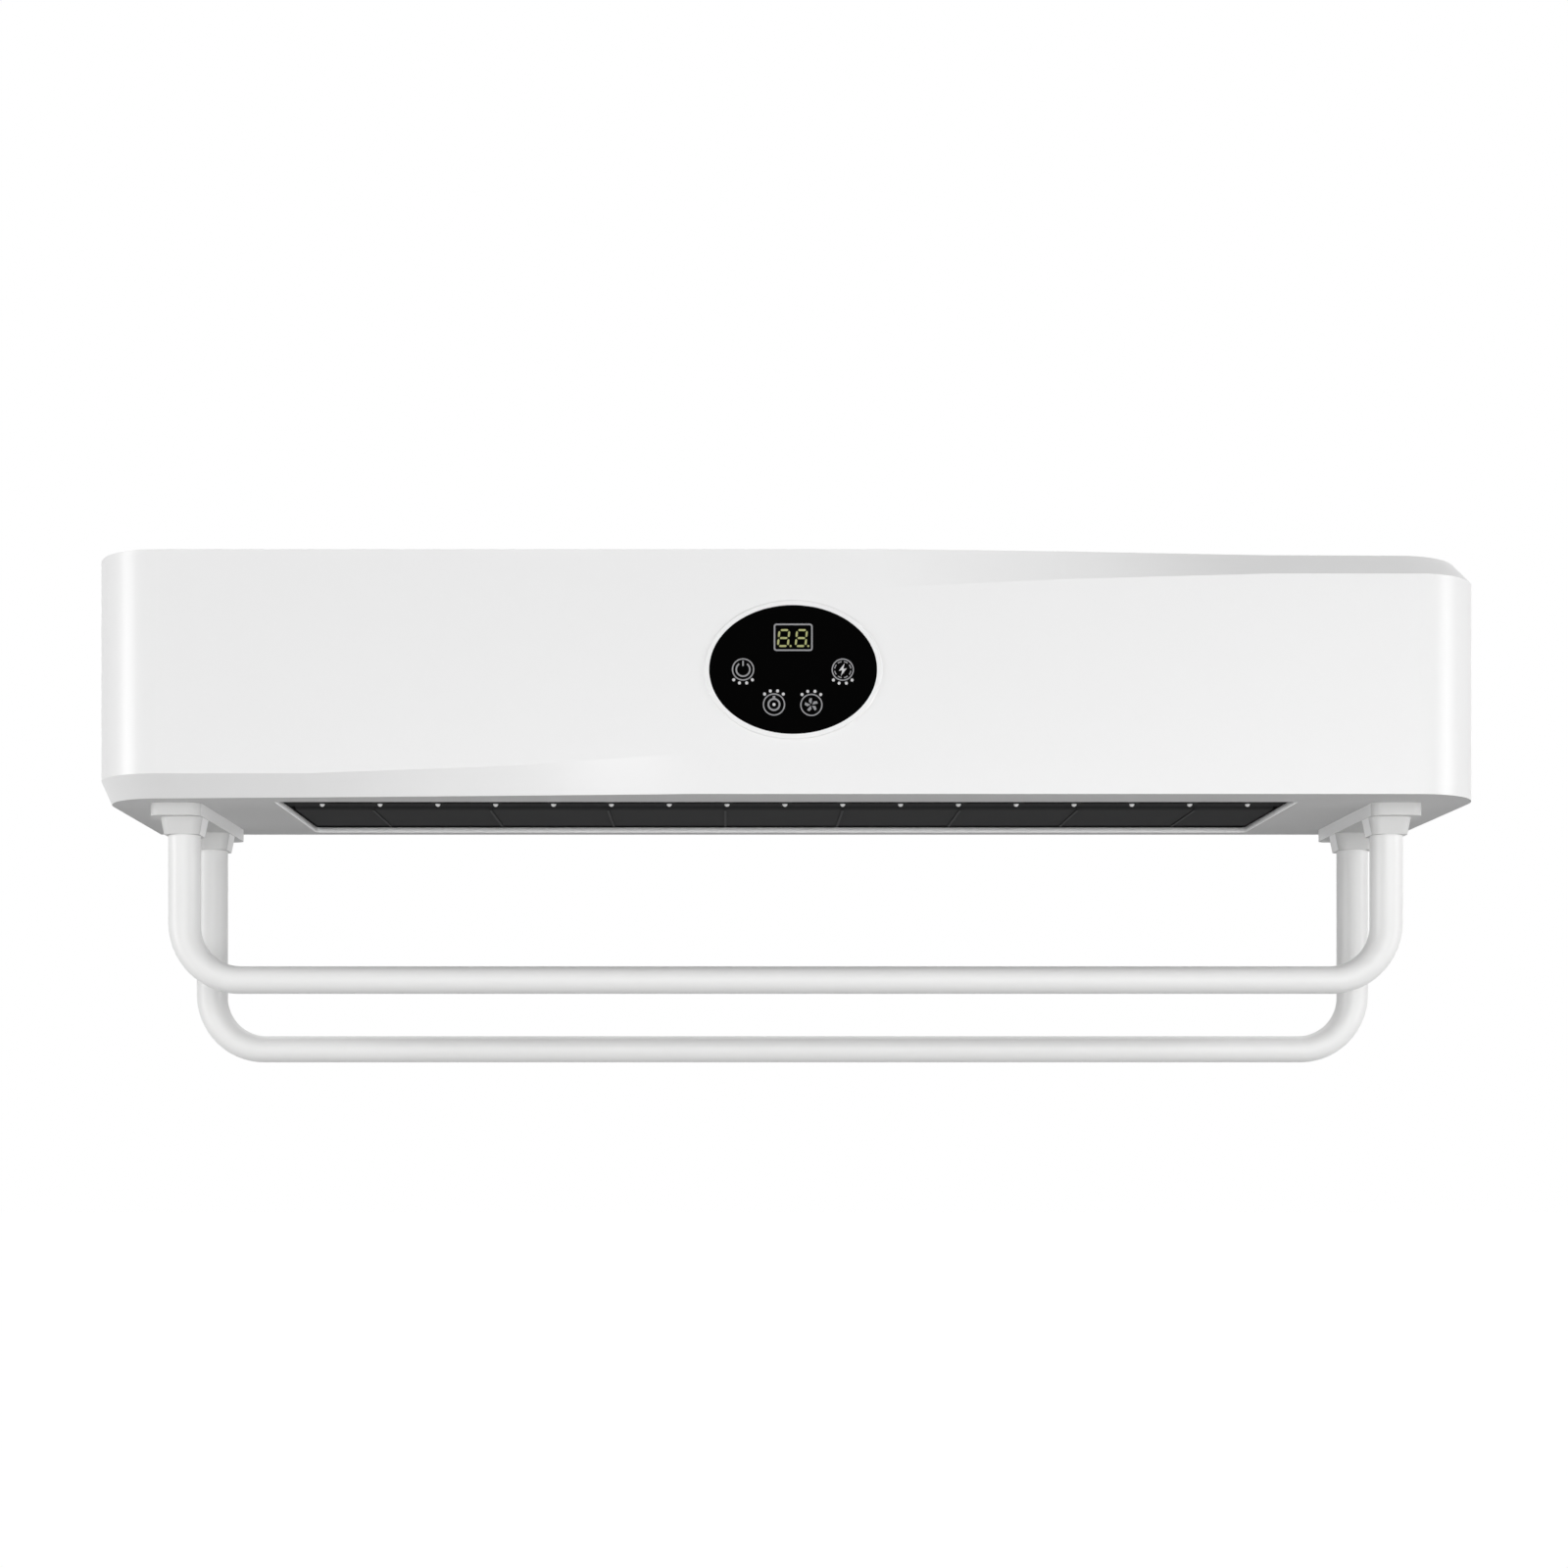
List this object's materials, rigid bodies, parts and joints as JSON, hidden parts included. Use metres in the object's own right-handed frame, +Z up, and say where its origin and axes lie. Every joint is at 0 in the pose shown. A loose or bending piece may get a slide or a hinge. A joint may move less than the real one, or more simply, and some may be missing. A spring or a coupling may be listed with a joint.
{
  "type": "electric towel radiator",
  "caption": "Wall-hung white warm-air towel heater: long rounded housing with twisted edge facets, oval touch panel, outlet flap underneath and two U-shaped towel bars.",
  "frame": {"origin": "centre of the four wall screws, on the wall face", "axes": "+X to the right, +Z up, the room towards -Y"},
  "size_m": [0.655, 0.1429, 0.2358],
  "materials": {
    "housing_white": "gloss moulded",
    "underside_white": "satin moulded",
    "outlet_black": "fine matt texture",
    "flap_grey": "satin",
    "pin_white": "gloss",
    "inner_plastic": "matt",
    "fan_plastic": "matt",
    "board_green": "solder mask",
    "component": "matt",
    "zinc": "zinc plated",
    "steel": "bright",
    "aluminium": "mill finish",
    "ceramic": "ceramic",
    "rubber": "matt",
    "panel_black": "polished",
    "digits": "display",
    "bar_white": "powder coat",
    "lead": "silicone"
  },
  "bodies": {
    "housing": {"front_cover": "housing_white", "base_panel": "underside_white", "top_grille": "housing_white", "back_plate": "zinc", "rear_screws": "steel", "wall_bracket": "zinc", "wall_pads": "rubber", "cable_gland": "inner_plastic", "outlet_frame": "outlet_black", "guard_pins": "pin_white", "flap_motor": "component", "heater_tray": "zinc", "heater_fins": "aluminium", "ptc_element": "ceramic", "heater_end_left": "component", "heater_end_right": "component", "thermal_cutout": "steel", "fan_housing": "inner_plastic", "fan_bearing": "rubber", "fan_motor": "zinc", "control_board": "board_green", "relays": "component", "capacitor": "component", "heat_sink": "aluminium", "terminal_block": "inner_plastic", "panel_bezel": "housing_white", "panel_glass": "panel_black", "panel_carrier": "inner_plastic", "display_board": "board_green", "digit_display": "digits", "heater_leads": "lead", "bar_bracket_left": "bar_white", "bar_bracket_right": "bar_white", "towel_bar_front": "bar_white", "towel_bar_rear": "bar_white", "bar_plugs": "steel", "bar_screws": "steel"},
    "flap": {"outlet_flap": "flap_grey"},
    "rotor": {"fan_wheel": "fan_plastic", "fan_shaft": "steel"}
  },
  "joints": [
    {"name": "flap_hinge", "type": "hinge", "parent": "housing", "child": "flap", "pos_m": [0, -0.019, -0.048], "axis": [1, 0, 0], "range_deg": [0, 70]},
    {"name": "fan_spin", "type": "hinge", "parent": "housing", "child": "rotor", "pos_m": [0, -0.05, 0.017], "axis": [1, 0, 0], "continuous": true}
  ]
}
